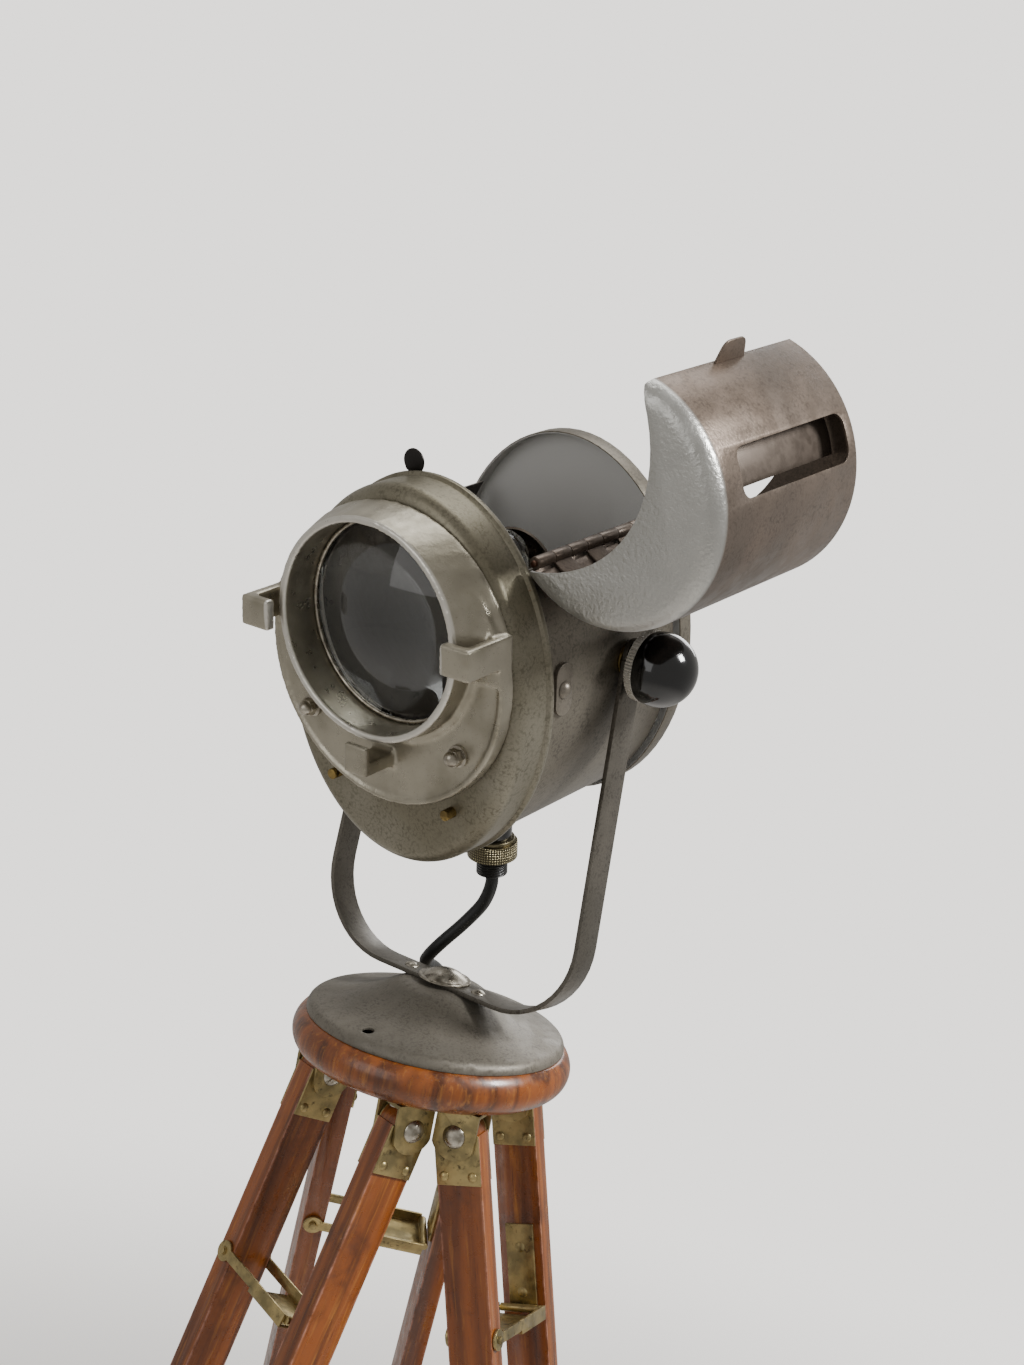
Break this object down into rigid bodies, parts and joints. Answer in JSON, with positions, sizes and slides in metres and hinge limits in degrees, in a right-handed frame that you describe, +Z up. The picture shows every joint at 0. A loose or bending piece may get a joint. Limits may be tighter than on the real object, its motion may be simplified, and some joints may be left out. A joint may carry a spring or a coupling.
{
  "type": "tripod floor lamp",
  "caption": "Oval metal theatre spotlight with a hinged lid, tilting in a strap yoke on a wooden tripod with brass fittings.",
  "frame": {"origin": "on the floor, at the middle of the box round the lamp and its three feet", "axes": "+Z up, one leg points along +Y, the lamp looks towards -X -Y"},
  "size_m": [0.6046, 0.5756, 1.5525],
  "materials": {
    "varnished_wood": "varnished, worn",
    "aged_brass": "aged, tarnished",
    "hammer_enamel": "hammer finish, satin, worn at the edges",
    "silver_cast": "cast, silver paint",
    "plated_steel": "nickel plated, dulled",
    "dark_steel": "dark, satin",
    "clear_glass": "clear, polished",
    "bakelite": "gloss",
    "black_rubber": "smooth, dull",
    "ceramic": "glazed",
    "reflector_metal": "polished"
  },
  "bodies": {
    "stand": {"platform": "varnished_wood", "head_brackets": "aged_brass", "hinge_pins": "plated_steel", "bracket_screws": "plated_steel", "wing_nut": "plated_steel", "wing_washer": "plated_steel", "lead_long": "black_rubber", "lead_coil": "black_rubber", "plug": "black_rubber"},
    "yoke": {"dome_cover": "hammer_enamel", "yoke_strap": "hammer_enamel", "centre_bolt": "plated_steel", "yoke_screws": "plated_steel", "lead_middle": "black_rubber"},
    "lamp": {"housing": "hammer_enamel", "front_cap": "hammer_enamel", "rear_cap": "hammer_enamel", "lens_carrier": "silver_cast", "lens": "clear_glass", "lens_ring": "plated_steel", "dome_nuts": "plated_steel", "guide_rods": "aged_brass", "side_plates": "hammer_enamel", "trunnion_bolts": "plated_steel", "pivot_washers": "plated_steel", "hinge_leaf": "plated_steel", "hinge_pin": "plated_steel", "lid_catch": "dark_steel"},
    "focus": {"carriage": "plated_steel", "clamp_block": "bakelite", "clamp_nut": "aged_brass", "gland_sleeve": "bakelite", "lamp_socket": "ceramic", "bulb": "clear_glass", "reflector": "reflector_metal", "lead_top": "black_rubber"},
    "lid": {"lid_shell": "hammer_enamel", "lid_baffle": "dark_steel", "lid_leaf": "plated_steel", "lid_tab": "hammer_enamel"},
    "knob_right": {"knob_right": "bakelite"},
    "knob_left": {"knob_left": "bakelite"},
    "leg_1": {"leg_1_rails": "varnished_wood", "leg_1_plates": "aged_brass", "leg_1_stay": "aged_brass", "leg_1_clamp": "aged_brass"},
    "foot_1": {"leg_1_slider": "varnished_wood", "leg_1_shoe": "plated_steel"},
    "leg_2": {"leg_2_rails": "varnished_wood", "leg_2_plates": "aged_brass", "leg_2_stay": "aged_brass", "leg_2_clamp": "aged_brass"},
    "foot_2": {"leg_2_slider": "varnished_wood", "leg_2_shoe": "plated_steel"},
    "leg_3": {"leg_3_rails": "varnished_wood", "leg_3_plates": "aged_brass", "leg_3_stay": "aged_brass", "leg_3_clamp": "aged_brass"},
    "foot_3": {"leg_3_slider": "varnished_wood", "leg_3_shoe": "plated_steel"}
  },
  "joints": [
    {"name": "pan", "type": "hinge", "parent": "stand", "child": "yoke", "pos_m": [0, -0.062, 1.06], "axis": [0, 0, 1], "range_deg": [-60, 60], "deforming": ["lead_long", "lead_middle"]},
    {"name": "tilt", "type": "hinge", "parent": "yoke", "child": "lamp", "pos_m": [0, -0.062, 1.338], "axis": [0.7071, -0.7071, 0], "range_deg": [-55, 35], "deforming": ["lead_middle", "lead_top"]},
    {"name": "lid_hinge", "type": "hinge", "parent": "lamp", "child": "lid", "pos_m": [0.03805, -0.1286, 1.41334], "axis": [-0.683, -0.683, -0.2588], "range_deg": [0, 122]},
    {"name": "focus", "type": "slide", "parent": "lamp", "child": "focus", "axis": [-0.683, -0.683, -0.2588], "range_m": [-0.03, 0.035], "deforming": ["lead_top"]},
    {"name": "knob_right", "type": "hinge", "parent": "lamp", "child": "knob_right", "pos_m": [0.08273, -0.14473, 1.338], "axis": [0.7071, -0.7071, 0], "range_deg": [-180, 180]},
    {"name": "knob_left", "type": "hinge", "parent": "lamp", "child": "knob_left", "pos_m": [-0.08273, 0.02073, 1.338], "axis": [0.7071, -0.7071, 0], "range_deg": [-180, 180]},
    {"name": "leg_1_hinge", "type": "hinge", "parent": "stand", "child": "leg_1", "pos_m": [-0.0433, -0.087, 1.014], "axis": [0.5, -0.866, 0], "range_deg": [0, 15]},
    {"name": "leg_1_slide", "type": "slide", "parent": "leg_1", "child": "foot_1", "axis": [-0.232, -0.134, -0.9634], "range_m": [-0.12, 0.2]},
    {"name": "leg_2_hinge", "type": "hinge", "parent": "stand", "child": "leg_2", "pos_m": [0.0433, -0.087, 1.014], "axis": [0.5, 0.866, 0], "range_deg": [0, 15]},
    {"name": "leg_2_slide", "type": "slide", "parent": "leg_2", "child": "foot_2", "axis": [0.232, -0.134, -0.9634], "range_m": [-0.12, 0.2]},
    {"name": "leg_3_hinge", "type": "hinge", "parent": "stand", "child": "leg_3", "pos_m": [0, -0.012, 1.014], "axis": [-1, 0, 0], "range_deg": [0, 15]},
    {"name": "leg_3_slide", "type": "slide", "parent": "leg_3", "child": "foot_3", "axis": [0, 0.2679, -0.9634], "range_m": [-0.12, 0.2]}
  ]
}
